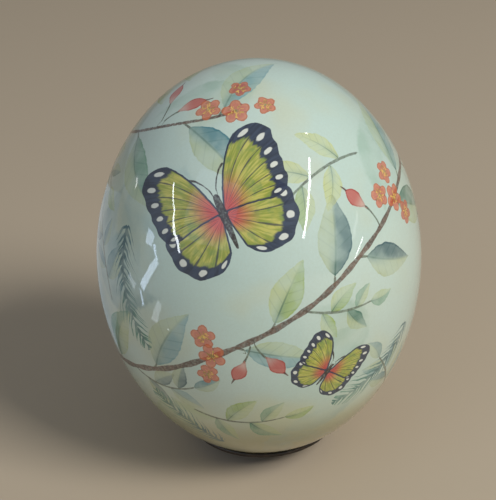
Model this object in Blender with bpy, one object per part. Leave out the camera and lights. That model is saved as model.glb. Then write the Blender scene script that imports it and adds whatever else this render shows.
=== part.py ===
"""A decorated ostrich egg that stands upright in a low turned ring of dark wood.

The egg is one closed solid of revolution about Z, a little blunter at its upper end. The ring
is a second solid that flares from a narrow foot to its rim: its seat slopes with the shell, and
its flat underside rests on the table at z = 0. The origin is on the axis of both, in the plane
of the table.
"""

import math

import bmesh
import bpy
from mathutils import Vector

MM = 0.001

# The shell
EGG_WIDTH = 125.0 * MM
EGG_LENGTH = 159.0 * MM
EGG_BLUNTNESS = 0.010  # share by which the upper end is fuller, and the lower end leaner
EGG_AROUND = 64
EGG_ALONG = 44
POLE_HEIGHT = 0.6 * MM  # clear space between the lower pole and the table

# The ring
RING_RIM_RADIUS = 30.0 * MM
RING_FOOT_RADIUS = 18.2 * MM
RING_INNER_RADIUS = 13.0 * MM
RING_FOOT_CHAMFER = 0.5 * MM
RING_RIM_UNDERSIDE = 8.16 * MM  # height of the rim's lower edge above the table
RING_RIM_ROUND = 0.6 * MM
RING_HOLLOW = 0.25 * MM  # how far the flared wall is hollowed below a straight cone
RING_AROUND = 60
WALL_POINTS = 6
RIM_POINTS = 3
SEAT_POINTS = 5
SEAT_GAP = 0.3 * MM  # between the seat and the shell
SLOPE_STEP = 0.01 * MM
HALVINGS = 60

CREASE_ANGLE = math.radians(40.0)
MERGE_DISTANCE = 0.001 * MM

EGG_CENTRE = POLE_HEIGHT + EGG_LENGTH / 2.0

SHELL_COLOUR = (0.60, 0.66, 0.48, 1.0)
WOOD_COLOUR = (0.035, 0.024, 0.016, 1.0)


def clear_scene():
    """Removes whatever the scene holds."""
    for item in list(bpy.data.objects):
        bpy.data.objects.remove(item, do_unlink=True)


def make_material(name, colour, roughness, metallic=0.0):
    """A Principled material of one colour."""
    material = bpy.data.materials.new(name)
    material.use_nodes = True
    shader = material.node_tree.nodes["Principled BSDF"]
    shader.inputs["Base Color"].default_value = colour
    shader.inputs["Roughness"].default_value = roughness
    shader.inputs["Metallic"].default_value = metallic
    return material


def add_object(name, bm, material):
    """Turns a bmesh into a smooth object of the scene."""
    bmesh.ops.recalc_face_normals(bm, faces=bm.faces)
    mesh = bpy.data.meshes.new(name)
    bm.to_mesh(mesh)
    bm.free()
    mesh.shade_smooth()
    mesh.set_sharp_from_angle(angle=CREASE_ANGLE)
    mesh.materials.append(material)
    made = bpy.data.objects.new(name, mesh)
    bpy.context.scene.collection.objects.link(made)
    return made


def shell_radius(height):
    """Radius of the shell at a height measured from its centre."""
    t = max(-1.0, min(1.0, height / (EGG_LENGTH / 2.0)))
    return EGG_WIDTH / 2.0 * math.sqrt(1.0 - t * t) * (1.0 + EGG_BLUNTNESS * t)


def shell_height(radius):
    """Height above the table of the shell's underside at a distance from the axis."""
    low, high = -EGG_LENGTH / 2.0, 0.0
    for _ in range(HALVINGS):
        middle = (low + high) / 2.0
        if shell_radius(middle) < radius:
            low = middle
        else:
            high = middle
    return EGG_CENTRE + (low + high) / 2.0


def shell_slope(radius):
    """Rise of the shell's underside per unit of distance from the axis."""
    rise = shell_height(radius + SLOPE_STEP) - shell_height(radius - SLOPE_STEP)
    return rise / (2.0 * SLOPE_STEP)


def build_egg(material):
    """The shell: a sphere stretched to the egg's profile."""
    bm = bmesh.new()
    bmesh.ops.create_uvsphere(bm, u_segments=EGG_AROUND, v_segments=EGG_ALONG, radius=1.0)
    for vert in bm.verts:
        x, y, z = vert.co
        fullness = EGG_WIDTH / 2.0 * (1.0 + EGG_BLUNTNESS * z)
        vert.co = Vector((x * fullness, y * fullness, z * EGG_LENGTH / 2.0))
    egg = add_object("egg", bm, material)
    egg.location = (0.0, 0.0, EGG_CENTRE)
    return egg


def seat_point(radius):
    """The point of the ring's seat that lies one gap below the shell, as (radius, height)."""
    slope = shell_slope(radius)
    length = math.hypot(1.0, slope)
    return (radius + SEAT_GAP * slope / length, shell_height(radius) - SEAT_GAP / length)


def rounded_corner(centre, first_angle, last_angle):
    """Points of a rounded corner of the rim, from one angle to another about its centre."""
    points = []
    for step in range(RIM_POINTS + 1):
        angle = math.radians(first_angle + (last_angle - first_angle) * step / RIM_POINTS)
        radius = centre[0] + RING_RIM_ROUND * math.cos(angle)
        points.append((radius, centre[1] + RING_RIM_ROUND * math.sin(angle)))
    return points


def ring_profile():
    """The ring's cross-section, as (radius, height) points in order round it."""
    inner_seat = seat_point(RING_INNER_RADIUS + RING_FOOT_CHAMFER)
    outer_seat = seat_point(RING_RIM_RADIUS - RING_RIM_ROUND)
    corner_radius = RING_RIM_RADIUS - RING_RIM_ROUND
    points = [
        (RING_INNER_RADIUS + RING_FOOT_CHAMFER, 0.0),
        (RING_FOOT_RADIUS - RING_FOOT_CHAMFER, 0.0),
    ]
    for step in range(WALL_POINTS):
        share = step / WALL_POINTS
        radius = RING_FOOT_RADIUS + share * (corner_radius - RING_FOOT_RADIUS)
        height = RING_FOOT_CHAMFER + share * (RING_RIM_UNDERSIDE - RING_FOOT_CHAMFER)
        points.append((radius, height + RING_HOLLOW * math.sin(math.pi * share)))
    points += rounded_corner((corner_radius, RING_RIM_UNDERSIDE + RING_RIM_ROUND), -90.0, 0.0)
    points += rounded_corner((corner_radius, outer_seat[1] - RING_RIM_ROUND), 0.0, 90.0)
    for step in range(1, SEAT_POINTS):
        share = step / SEAT_POINTS
        points.append(seat_point(corner_radius + share * (inner_seat[0] - corner_radius)))
    points.append(inner_seat)
    points.append((RING_INNER_RADIUS, inner_seat[1] - RING_FOOT_CHAMFER))
    points.append((RING_INNER_RADIUS, RING_FOOT_CHAMFER))
    return points


def build_ring(material):
    """The ring: its cross-section spun once about Z."""
    bm = bmesh.new()
    corners = [bm.verts.new((radius, 0.0, height)) for radius, height in ring_profile()]
    edges = [bm.edges.new((a, b)) for a, b in zip(corners, corners[1:] + corners[:1])]
    bmesh.ops.spin(
        bm,
        geom=corners + edges,
        cent=(0.0, 0.0, 0.0),
        axis=(0.0, 0.0, 1.0),
        angle=2.0 * math.pi,
        steps=RING_AROUND,
        use_merge=True,
    )
    bmesh.ops.remove_doubles(bm, verts=bm.verts, dist=MERGE_DISTANCE)
    return add_object("ring_stand", bm, material)


def main():
    """Builds both pieces."""
    clear_scene()
    shell = make_material("lacquered eggshell", SHELL_COLOUR, 0.18)
    wood = make_material("dark stained wood", WOOD_COLOUR, 0.45)
    build_egg(shell)
    build_ring(wood)


main()
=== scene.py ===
"""Looks of a painted and lacquered ostrich egg that stands in a low turned ring of dark wood.

The shell is a fine cube sphere. The painter's brush leaves its marks on it as smooth coordinates,
kept as attributes of the mesh: for every layer of paint, how far a point lies inside the edge of
a leaf, petal, wing or stroke, and where it lies along and across it. The shell's material turns
those into edges, veins and washes, so the painting stays crisp at any distance. The coordinates
come from a design of boughs, blossoms and butterflies that is laid out in the classes below.
"""

import logging
import math
import random
from dataclasses import dataclass, field
from enum import Enum

import bmesh
import bpy
import numpy as np
from mathutils import Matrix, Vector, noise


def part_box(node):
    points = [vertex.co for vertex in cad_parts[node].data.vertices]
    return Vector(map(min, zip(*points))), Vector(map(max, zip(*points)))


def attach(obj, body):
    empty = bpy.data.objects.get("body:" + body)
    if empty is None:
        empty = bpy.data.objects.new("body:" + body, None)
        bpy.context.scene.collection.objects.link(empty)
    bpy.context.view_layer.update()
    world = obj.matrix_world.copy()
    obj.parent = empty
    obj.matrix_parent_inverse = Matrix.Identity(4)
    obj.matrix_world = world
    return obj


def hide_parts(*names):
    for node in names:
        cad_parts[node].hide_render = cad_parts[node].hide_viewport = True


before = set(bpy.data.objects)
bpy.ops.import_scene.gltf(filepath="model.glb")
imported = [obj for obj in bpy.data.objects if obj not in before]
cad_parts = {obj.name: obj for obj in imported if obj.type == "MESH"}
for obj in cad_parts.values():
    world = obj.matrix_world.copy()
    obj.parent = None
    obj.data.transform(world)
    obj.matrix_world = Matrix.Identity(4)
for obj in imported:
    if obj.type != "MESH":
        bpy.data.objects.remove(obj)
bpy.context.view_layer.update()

LOG = logging.getLogger("ostrich_egg")
MM = 0.001
Socket = bpy.types.NodeSocket
Point = np.ndarray
Flat = tuple[float, float]
Colour = tuple[float, float, float, float]


def linear(code: str, alpha: float = 1.0) -> Colour:
    """Turns an sRGB hex colour to linear values.

    Args:
        code: Six hex digits, red first.
        alpha: The fourth value.

    Returns:
        Linear red, green and blue, and alpha.
    """
    channels = [int(code[i:i + 2], 16) / 255.0 for i in (0, 2, 4)]
    turned = [c / 12.92 if c <= 0.04045 else ((c + 0.055) / 1.055) ** 2.4 for c in channels]
    return (turned[0], turned[1], turned[2], alpha)


class Kind(Enum):
    """The shader nodes in use: Blender's name for each, and its main choice."""

    PLUS = ("Math", "operation", "ADD")
    LESS = ("Math", "operation", "SUBTRACT")
    TIMES = ("Math", "operation", "MULTIPLY")
    OVER = ("Math", "operation", "DIVIDE")
    TIMES_PLUS = ("Math", "operation", "MULTIPLY_ADD")
    LEAST = ("Math", "operation", "MINIMUM")
    MOST = ("Math", "operation", "MAXIMUM")
    SIZE = ("Math", "operation", "ABSOLUTE")
    SIGN = ("Math", "operation", "SIGN")
    ROUND = ("Math", "operation", "ROUND")
    ABOVE = ("Math", "operation", "GREATER_THAN")
    FOLD = ("Math", "operation", "PINGPONG")
    SCALE = ("VectorMath", "operation", "MULTIPLY")
    LENGTH = ("VectorMath", "operation", "LENGTH")
    RAMP = ("MapRange", "interpolation_type", "LINEAR")
    EASE = ("MapRange", "interpolation_type", "SMOOTHSTEP")
    MIX = ("Mix", "data_type", "RGBA")
    JOIN = ("CombineXYZ",)
    SPLIT = ("SeparateXYZ",)
    CHANNELS = ("SeparateColor",)
    NOISE = ("TexNoise",)
    CHANCE = ("TexWhiteNoise",)
    READ = ("Attribute",)
    PLACE = ("TexCoord",)
    BUMP = ("Bump",)


def add(
    tree: bpy.types.NodeTree, kind: Kind, *values: Socket | float | tuple,
    out: int | str = 0, **settings,
) -> Socket:
    """Adds one shader node.

    Args:
        tree: The node tree that takes the node.
        kind: The node and its main choice.
        values: What the inputs in use get, in order: a value, or the output that feeds the input.
        out: The output to return, by number among those in use or by name.
        settings: Further inputs by name, or properties of the node.

    Returns:
        The chosen output of the new node.
    """
    name, *choice = kind.value
    node = tree.nodes.new("ShaderNode" + name)
    if choice:
        setattr(node, *choice)
    fed = list(zip([socket for socket in node.inputs if socket.enabled], values))
    for key, value in settings.items():
        if key in node.inputs:
            fed.append((node.inputs[key], value))
        else:
            setattr(node, key, value)
    for socket, value in fed:
        if isinstance(value, Socket):
            tree.links.new(value, socket)
        else:
            socket.default_value = value
    if isinstance(out, str):
        return node.outputs[out]
    return [socket for socket in node.outputs if socket.enabled][out]


def make_object(name: str, bm: bmesh.types.BMesh) -> bpy.types.Object:
    """Turns a bmesh into an object of the scene, at the origin.

    Args:
        name: The name of the object and its mesh.
        bm: The bmesh, which is used up.

    Returns:
        The object.
    """
    mesh = bpy.data.meshes.new(name)
    bm.to_mesh(mesh)
    bm.free()
    made = bpy.data.objects.new(name, mesh)
    bpy.context.scene.collection.objects.link(made)
    return made


def start_finish(name: str) -> tuple[bpy.types.Material, bpy.types.ShaderNode, Socket]:
    """Starts a material.

    Args:
        name: Its name.

    Returns:
        The material, its shader, and the place on the piece in millimetres from the origin.
    """
    material = bpy.data.materials.new(name)
    material.use_nodes = True
    tree = material.node_tree
    place = add(tree, Kind.SCALE, add(tree, Kind.PLACE, out="Object"), (1.0 / MM,) * 3)
    return material, tree.nodes["Principled BSDF"], place


class Pigment(Enum):
    """The painter's colours, as sRGB hex."""

    SAGE = "6B9E80"
    DEEP_SAGE = "47796A"
    SPRING = "9DB868"
    PALE_SPRING = "C6D08C"
    TEAL = "44808D"
    MIST_TEAL = "7FABB2"
    DEEP_TEAL = "2A5A66"
    NEEDLE = "2F6D7A"
    ORANGE = "CE5A33"
    VERMILION = "B93A28"
    CORAL = "C2473F"
    ROSE = "DDA596"
    BARK = "6F574C"
    DARK_BARK = "372C2B"
    STALK = "70806E"
    NAVY = "1B2540"
    OLIVE = "93A03A"
    STAMEN = "E9C468"
    VEIN = "3D6A62"
    SEA_GREEN = "4F8F7C"
    APRICOT = "E79A6A"
    PETAL_SEAM = "84261F"
    PETAL_RIM = "7E2B23"
    FLOWER_EYE = "7C7A2C"
    BUD_TIP = "5A2A26"
    STRAW = "C9C564"
    MOSS = "6E9250"
    BLUSH = "B93C38"
    PALE_BLUSH = "D4625A"
    SLATE = "303D58"
    CHALK = "DDE3DC"
    MINT = "C6DCD5"
    COOL_MINT = "C0D9D2"
    CREAM = "D0CD9F"
    # painted shade: the olive of the dark band low on the shell, above the stand
    SHADE_OLIVE = "8A8658"
    FIBRE = "A9B39A"

    def ink(self, strength: float = 1.0) -> Colour:
        """Gives the linear colour, with the paint's strength as its fourth value."""
        return linear(self.value, strength)


GREENS = (Pigment.SAGE, Pigment.SPRING, Pigment.SAGE, Pigment.DEEP_SAGE)
BLUES = (Pigment.TEAL, Pigment.MIST_TEAL, Pigment.DEEP_TEAL)
PALES = (Pigment.SPRING, Pigment.SAGE, Pigment.PALE_SPRING)


class Coat(Enum):
    """The layers of paint, from the first laid to the last."""

    SHADE = "shade"
    LEAF_A = "leaf_a"
    LEAF_B = "leaf_b"
    LEAF_C = "leaf_c"
    NEEDLE = "needle"
    BOUGH = "bough"
    STALK = "stalk"
    PETAL_A = "petal_a"
    PETAL_B = "petal_b"
    HIND_WING = "hind_wing"
    FORE_WING = "fore_wing"
    DETAIL = "detail"


LEAF_COATS = (Coat.LEAF_A, Coat.LEAF_B, Coat.LEAF_C)
PETAL_COATS = (Coat.PETAL_A, Coat.PETAL_B)
THIN_COATS = (Coat.STALK, Coat.DETAIL)
FAR_OUTSIDE = -12.0  # mm, the edge distance of bare ground
REACH = 2.2  # mm past a mark's edge over which its coordinates go on
THIN_REACH = 1.3  # the same for a thin line
CLEAR = 1.1  # mm past its edge that a mark keeps from others in its layer
THINNEST_BOUGH = 1.2  # mm, so that a bough's end doesn't break up
VEINS = 6.0  # cells between the veins of a wing
LEAF_SEARCH = 0.62  # share of a leaf's length about its middle in which its points lie
LEAF_END = 0.1  # mm of paint at a leaf's very ends
FLOWER_TONE, BUD_TONE = 0.2, 0.8  # tell the petals' finish which of the two it paints
TINY = 1e-9  # mm


@dataclass(frozen=True)
class Egg:
    """The shell's shape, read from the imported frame; lengths in millimetres."""

    width: float
    length: float
    centre_z: float
    bluntness: float = 0.010

    def place(self, direction: Point) -> Point:
        """Finds where rays from the centre leave the shell.

        Args:
            direction: Rows of directions, of any length.

        Returns:
            Rows of points on the shell, from its centre.
        """
        a, c = self.width / 2.0, self.length / 2.0
        flat = np.hypot(direction[..., 0], direction[..., 1])
        scale = 1.0 / np.sqrt((flat / a) ** 2 + (direction[..., 2] / c) ** 2)
        spot = direction * scale[..., None]
        fuller = 1.0 + self.bluntness * spot[..., 2] / c
        return spot * np.stack([fuller, fuller, np.ones_like(fuller)], axis=-1)

    def normal(self, spot: Point) -> Point:
        """Gives the outward normals at points on the shell."""
        a, c = self.width / 2.0, self.length / 2.0
        slope = spot / np.array([a * a, a * a, c * c])
        return slope / np.linalg.norm(slope, axis=-1, keepdims=True)


def smooth_path(keys: list[Flat], steps: int) -> list[Flat]:
    """Runs a Catmull-Rom curve through points.

    Args:
        keys: The points that the curve passes.
        steps: Pieces between each two of them.

    Returns:
        The points of the curve.
    """
    ends = [keys[0]] + list(keys) + [keys[-1]]
    path = []
    for before, first, last, after in zip(ends, ends[1:], ends[2:], ends[3:]):
        for step in range(steps):
            t = step / steps
            path.append(tuple(
                0.5 * (
                    2 * q + (r - p) * t + (2 * p - 5 * q + 4 * r - s) * t * t
                    + (3 * q - p - 3 * r + s) * t ** 3
                )
                for p, q, r, s in zip(before, first, last, after)
            ))
    path.append(tuple(keys[-1]))
    return path


def trail(base: Flat, heading: float, length: float, curl: float, steps: int) -> list[Flat]:
    """Gives the points of a bowed line.

    Args:
        base: Where the line starts.
        heading: Its first direction, in degrees.
        length: Its length.
        curl: How many degrees it turns by its end.
        steps: Pieces of the line.

    Returns:
        The line's points.
    """
    x, y = base
    points = [(x, y)]
    for step in range(steps):
        turn = math.radians(heading + curl * (step + 0.5) / steps)
        x += math.cos(turn) * length / steps
        y += math.sin(turn) * length / steps
        points.append((x, y))
    return points


@dataclass(frozen=True)
class Track:
    """Shell points measured along a line: their numbers, and each one's place about the line."""

    which: Point
    gap: Point
    side: Point
    run: Point
    past: Point
    length: float


@dataclass
class Canvas:
    """The painted surface: the shell's points, and the marks that each layer of paint holds."""

    egg: Egg
    points: Point
    form: dict[Coat, Point] = field(default_factory=dict)
    ink: dict[Coat, Point] = field(default_factory=dict)
    dropped: int = 0

    def __post_init__(self) -> None:
        """Starts every layer bare."""
        for coat in Coat:
            self.form[coat] = np.zeros((len(self.points), 4), np.float32)
            self.form[coat][:, 3 if coat in THIN_COATS else 0] = FAR_OUTSIDE
            self.ink[coat] = np.zeros((len(self.points), 4), np.float32)

    def near(self, middle: Point, radius: float) -> Point:
        """Gives the numbers of the points within a distance of a spot."""
        return np.nonzero(((self.points - middle) ** 2).sum(axis=1) < radius * radius)[0]

    def taken(self, coat: Coat, which: Point, form: Point) -> bool:
        """Says whether a mark would touch one that its layer holds already.

        Args:
            coat: The layer.
            which: Numbers of the points about the mark.
            form: Their edge distance, two coordinates and tone.

        Returns:
            Whether it would.
        """
        close = which[form[:, 0] > -CLEAR]
        return bool(self.form[coat][close, 0].max(initial=FAR_OUTSIDE) > -CLEAR)

    def lay(self, coats: tuple[Coat, ...], which: Point, form: Point, colour: Colour) -> bool:
        """Paints one mark on the first layer that has room for it.

        Args:
            coats: The layers to try.
            which: Numbers of the points about the mark.
            form: Their edge distance, two coordinates and tone.
            colour: Linear colour and strength.

        Returns:
            Whether a layer had room.
        """
        for coat in coats:
            if coat is Coat.SHADE or not self.taken(coat, which, form):
                self.merge(coat, which, form, colour)
                return True
        self.dropped += 1
        return False

    def merge(self, coat: Coat, which: Point, form: Point, colour: Colour) -> None:
        """Paints one mark over a layer whose marks may run together.

        Args:
            coat: The layer.
            which: Numbers of the points about the mark.
            form: Their edge distance, two coordinates and tone.
            colour: Linear colour and strength.
        """
        wins = (form[:, 0] > -REACH) & (form[:, 0] > self.form[coat][which, 0])
        self.form[coat][which[wins]] = form[wins]
        self.ink[coat][which[wins]] = colour

    def local(self, base: Point, tip: Point) -> tuple[Point, Point, Point, float]:
        """Sets up a mark's own frame between its two ends.

        Args:
            base: The end that it grows from.
            tip: The other end.

        Returns:
            The middle, the direction along, the direction across, and the length.
        """
        middle = (base + tip) / 2.0
        out = self.egg.normal(middle)
        along = (tip - base) - out * np.dot(tip - base, out)
        length = float(np.linalg.norm(along))
        along = along / length
        return middle, along, np.cross(out, along), length

    def follow(self, spots: list[Point], reach: float) -> Track:
        """Measures the shell's points along a line.

        Args:
            spots: Points of the line on the shell.
            reach: How far from the line the points may lie.

        Returns:
            The points and their places about the line.
        """
        line = np.array(spots)
        middle = (line.min(axis=0) + line.max(axis=0)) / 2.0
        which = self.near(middle, np.linalg.norm(line - middle, axis=1).max() + reach)
        here = self.points[which]
        gap = np.full(len(which), np.inf)
        side, run, past = np.zeros(len(which)), np.zeros(len(which)), np.zeros(len(which))
        walked = 0.0
        for number, (first, last) in enumerate(zip(line, line[1:])):
            length = float(np.linalg.norm(last - first))
            way = (last - first) / length
            left = np.cross(self.egg.normal((first + last) / 2.0), way)
            along = (here - first) @ way
            off = here - first - np.clip(along, 0.0, length)[:, None] * way
            apart = np.linalg.norm(off, axis=1)
            over = np.zeros(len(which))
            if number == 0:
                over = np.minimum(along, 0.0)
            if number == len(line) - 2:
                over = over + np.maximum(along - length, 0.0)
            near = apart < gap
            gap[near], side[near], past[near] = apart[near], (off @ left)[near], over[near]
            run[near] = walked + np.clip(along, 0.0, length)[near]
            walked += length
        kept = gap < reach
        return Track(which[kept], gap[kept], side[kept], run[kept], past[kept], walked)

    def brush(self, coat: Coat, spots: list[Point], widths: list[float], colour: Colour) -> None:
        """Paints a thick line of changing width.

        Args:
            coat: The layer.
            spots: Points of the line on the shell.
            widths: The line's width at even steps from its start to its end.
            colour: Linear colour and strength.
        """
        track = self.follow(spots, max(widths) / 2.0 + REACH)
        share = track.run / track.length
        width = np.interp(share, np.linspace(0.0, 1.0, len(widths)), widths)
        edge, tone = width / 2.0 - track.gap, np.full(len(share), 0.5)
        form = np.stack([edge, track.run, track.side, tone], axis=1)
        self.merge(coat, track.which, form, colour)


@dataclass(frozen=True)
class Chart:
    """A flat sheet laid on the shell about one spot, in millimetres along the surface."""

    canvas: Canvas
    azimuth: float
    latitude: float

    def axes(self) -> tuple[Point, Point, Point]:
        """Gives the sheet's right, up and outward directions."""
        a, b = math.radians(self.azimuth), math.radians(self.latitude)
        out = np.array([math.sin(a) * math.cos(b), -math.cos(a) * math.cos(b), math.sin(b)])
        right = np.array([math.cos(a), math.sin(a), 0.0])
        return right, np.cross(out, right), out

    def spot(self, x: float, y: float) -> Point:
        """Gives the point of the shell under a point of the sheet.

        Args:
            x: Millimetres to the right of the sheet's centre.
            y: Millimetres above it.

        Returns:
            The point, from the shell's centre.
        """
        right, up, out = self.axes()
        reach = math.hypot(x, y)
        egg = self.canvas.egg
        angle = reach / ((egg.width + egg.length) / 4.0)
        way = (right * x + up * y) / max(reach, TINY)
        return egg.place(out * math.cos(angle) + way * math.sin(angle))

    def pen(
        self, coat: Coat, line: list[Flat], widths: list[float], colour: Colour, side: float = 1.0
    ) -> None:
        """Paints a thin line, whose signed distance stays exact between the shell's points.

        Args:
            coat: One of the thin layers.
            line: Points of the line.
            widths: The line's width at even steps from its start to its end.
            colour: Linear colour and strength.
            side: 1 or -1; two lines that part from one point have one each, so that the distances
                between them have one sign.
        """
        canvas = self.canvas
        track = canvas.follow([self.spot(*point) for point in line], max(widths) / 2.0 + THIN_REACH)
        share = track.run / track.length
        half = np.interp(share, np.linspace(0.0, 1.0, len(widths)), widths) / 2.0
        margin = np.minimum(half + THIN_REACH - track.gap, half - np.abs(track.past))
        signed = np.copysign(track.gap, track.side * side)
        form = np.stack([signed, track.run, half, margin], axis=1)
        wins = form[:, 3] > np.maximum(canvas.form[coat][track.which, 3], -REACH)
        canvas.form[coat][track.which[wins]] = form[wins]
        canvas.ink[coat][track.which[wins]] = colour


@dataclass(frozen=True)
class Leaf:
    """A leaf or a tube-shaped bud, painted from its base to its tip."""

    base: Flat
    heading: float
    length: float
    width: float
    bend: float
    pigment: Pigment
    strength: float = 0.8
    tone: float = 0.5
    fullest: float = 0.42  # share of the length at which it is widest
    taper: float = 1.15  # over 1 draws the ends out to points
    end_slope: float = 0.6  # how fast the edge distance falls towards the ends

    def paint(self, chart: Chart, coats: tuple[Coat, ...]) -> bool:
        """Lays the leaf on a layer with room.

        Args:
            chart: The sheet that the leaf is placed on.
            coats: The layers to try.

        Returns:
            Whether it was laid.
        """
        canvas = chart.canvas
        turn = math.radians(self.heading)
        x, y = self.base
        base = chart.spot(x, y)
        tip = chart.spot(x + self.length * math.cos(turn), y + self.length * math.sin(turn))
        middle, along, across, length = canvas.local(base, tip)
        which = canvas.near(middle, length * LEAF_SEARCH + self.width + REACH)
        here = canvas.points[which] - base
        u = here @ along / length
        v = here @ across - self.bend * length * 4.0 * u * (1.0 - u)
        power = math.log(0.5) / math.log(self.fullest)
        shape = np.sin(math.pi * np.clip(u, 0.0, 1.0) ** power) ** self.taper
        half = self.width / 2.0 * shape
        ends = np.minimum(u, 1.0 - u) * length * self.end_slope + LEAF_END
        edge = np.minimum(half - np.abs(v), ends)
        lit = v / (self.width / 2.0) * (1.0 if self.tone > 0.5 else -1.0)
        form = np.stack([edge, u, lit, np.full(len(which), self.tone)], axis=1)
        return canvas.lay(coats, which, form, self.pigment.ink(self.strength))


@dataclass(frozen=True)
class Fan:
    """A few leaves that spread from one point."""

    heading: float
    turns: tuple[float, ...]
    length: float
    pigments: tuple[Pigment, ...]
    strength: float = 0.9
    coats: tuple[Coat, ...] = LEAF_COATS

    def paint(self, chart: Chart, dice: random.Random) -> None:
        """Lays the leaves.

        Args:
            chart: The sheet whose centre the leaves grow from.
            dice: The source of small differences.
        """
        for turn in self.turns:
            length = self.length * dice.uniform(0.86, 1.14)
            heading = self.heading + turn + dice.uniform(-8.0, 8.0)
            width, bend = length * dice.uniform(0.34, 0.43), dice.uniform(-0.07, 0.08)
            pigment, strength = dice.choice(self.pigments), self.strength * dice.uniform(0.8, 1.1)
            leaf = Leaf((0.0, 0.0), heading, length, width, bend, pigment, strength, dice.random())
            leaf.paint(chart, self.coats)


@dataclass(frozen=True)
class Blossom:
    """An open flower, with petals about its eye and a few stamens."""

    middle: Flat
    radius: float
    petals: int
    turn: float
    pigment: Pigment
    notch: float = 0.38  # share of the radius by which the rim draws in between petals
    notch_power: float = 2.2  # how narrow those notches are
    slope: float = 0.85  # of the edge distance, because the rim runs aslant
    stamens: Flat = (0.3, 0.46)  # where they start in mm, and end as a share of the radius

    def paint(self, chart: Chart) -> None:
        """Lays the petals, and the stamens over them.

        Args:
            chart: The sheet that the flower is placed on.
        """
        canvas = chart.canvas
        centre = chart.spot(*self.middle)
        start = chart.spot(self.middle[0] + 1.0, self.middle[1])
        _, along, across, _ = canvas.local(centre, start)
        which = canvas.near(centre, self.radius + REACH + 1.0)
        here = canvas.points[which] - centre
        x, y = here @ along, here @ across
        angle = np.arctan2(y, x) - math.radians(self.turn)
        cycle = angle * self.petals / (2.0 * math.pi)
        v = np.abs(2.0 * (cycle - np.floor(cycle + 0.5)))
        rim = self.radius * (1.0 - self.notch * v ** self.notch_power)
        r = np.hypot(x, y)
        edge, tone = (rim - r) * self.slope, np.full(len(which), FLOWER_TONE)
        form = np.stack([edge, r / rim, v, tone], axis=1)
        if canvas.taken(Coat.FORE_WING, which, form) or canvas.taken(Coat.HIND_WING, which, form):
            return
        if canvas.lay(PETAL_COATS, which, form, self.pigment.ink(0.92)):
            self.paint_stamens(chart)

    def paint_stamens(self, chart: Chart) -> None:
        """Lays the stamens, one between each two petals."""
        x, y = self.middle
        for number in range(self.petals):
            turn = math.radians(self.turn + 360.0 * (number + 0.5) / self.petals)
            reaches = (self.stamens[0], self.radius * self.stamens[1])
            ends = [(x + math.cos(turn) * k, y + math.sin(turn) * k) for k in reaches]
            chart.pen(Coat.DETAIL, ends, [0.25, 0.3, 0.75], Pigment.STAMEN.ink(0.95))


@dataclass(frozen=True)
class Cluster:
    """A handful of blossoms close together, one of them in the middle; lengths in millimetres."""

    blossoms: int = 6
    petals: int = 5
    spread: Flat = (8.8, 10.2)
    radii: Flat = (4.0, 4.9)
    middle_radius: float = 5.2

    def paint(self, chart: Chart, dice: random.Random) -> None:
        """Lays the blossoms.

        Args:
            chart: The sheet whose centre the blossoms gather round.
            dice: The source of small differences.
        """
        step, repeat = 360.0 / (self.blossoms - 1), 360.0 / self.petals
        start = dice.uniform(0.0, step)
        for number in range(self.blossoms):
            turn = math.radians(start + step * number + dice.uniform(-6.0, 6.0))
            reach = 0.0 if number == 0 else dice.uniform(*self.spread)
            middle = (math.cos(turn) * reach, math.sin(turn) * reach)
            pigment = dice.choice((Pigment.ORANGE, Pigment.VERMILION, Pigment.ORANGE))
            radius = dice.uniform(*self.radii) if number else self.middle_radius
            spin = dice.uniform(0.0, repeat)
            Blossom(middle, radius, self.petals, spin, pigment).paint(chart)


@dataclass(frozen=True)
class Wing:
    """One wing of a butterfly, in shares of the butterfly's size.

    Its outline is given by its reach at even steps between two opening angles. The edges bow as
    they leave the root, and the outline draws in a little at each vein.
    """

    angles: tuple[float, float]
    reaches: tuple[float, ...]
    root: Flat
    bow: float
    notch: float
    coat: Coat
    rounding: float = 2.4  # mm, of the wing's corners
    edge_slope: float = 0.92  # of the edge distance, because the outer edge runs aslant
    root_width: float = 0.012
    overlap: float = 0.03  # how far the wing reaches past the body's middle

    def edge(self, x: Point, y: Point, size: float) -> tuple[Point, Point, Point]:
        """Measures points against the wing.

        Args:
            x: Their places away from the body, from the wing's root.
            y: Their places towards the head.
            size: The butterfly's size in millimetres.

        Returns:
            Millimetres inside the edge, and the shares of the reach and of the opening angle.
        """
        first, last = self.angles
        r = np.hypot(x, y)
        share = (first - np.degrees(np.arctan2(y, x)) - self.bow * r * r) / (first - last)
        keys = np.linspace(0.0, 1.0, len(self.reaches))
        fine = np.array(smooth_path(list(zip(keys, self.reaches)), 12))
        inner = np.clip(share, 0.0, 1.0)
        reach = np.interp(inner, fine[:, 0], fine[:, 1])
        reach = reach * (1.0 - self.notch * (1.0 + np.cos(2.0 * math.pi * VEINS * inner)))
        ahead = (reach - r) * self.edge_slope * size
        opening = math.radians(first - last)
        aside = (np.minimum(share, 1.0 - share) * opening * r + self.root_width) * size
        blend = np.clip(0.5 + 0.5 * (aside - ahead) / self.rounding, 0.0, 1.0)
        edge = aside + (ahead - aside) * blend - self.rounding * blend * (1.0 - blend)
        edge[x < -self.overlap] = FAR_OUTSIDE
        return edge, r / reach, share


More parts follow.
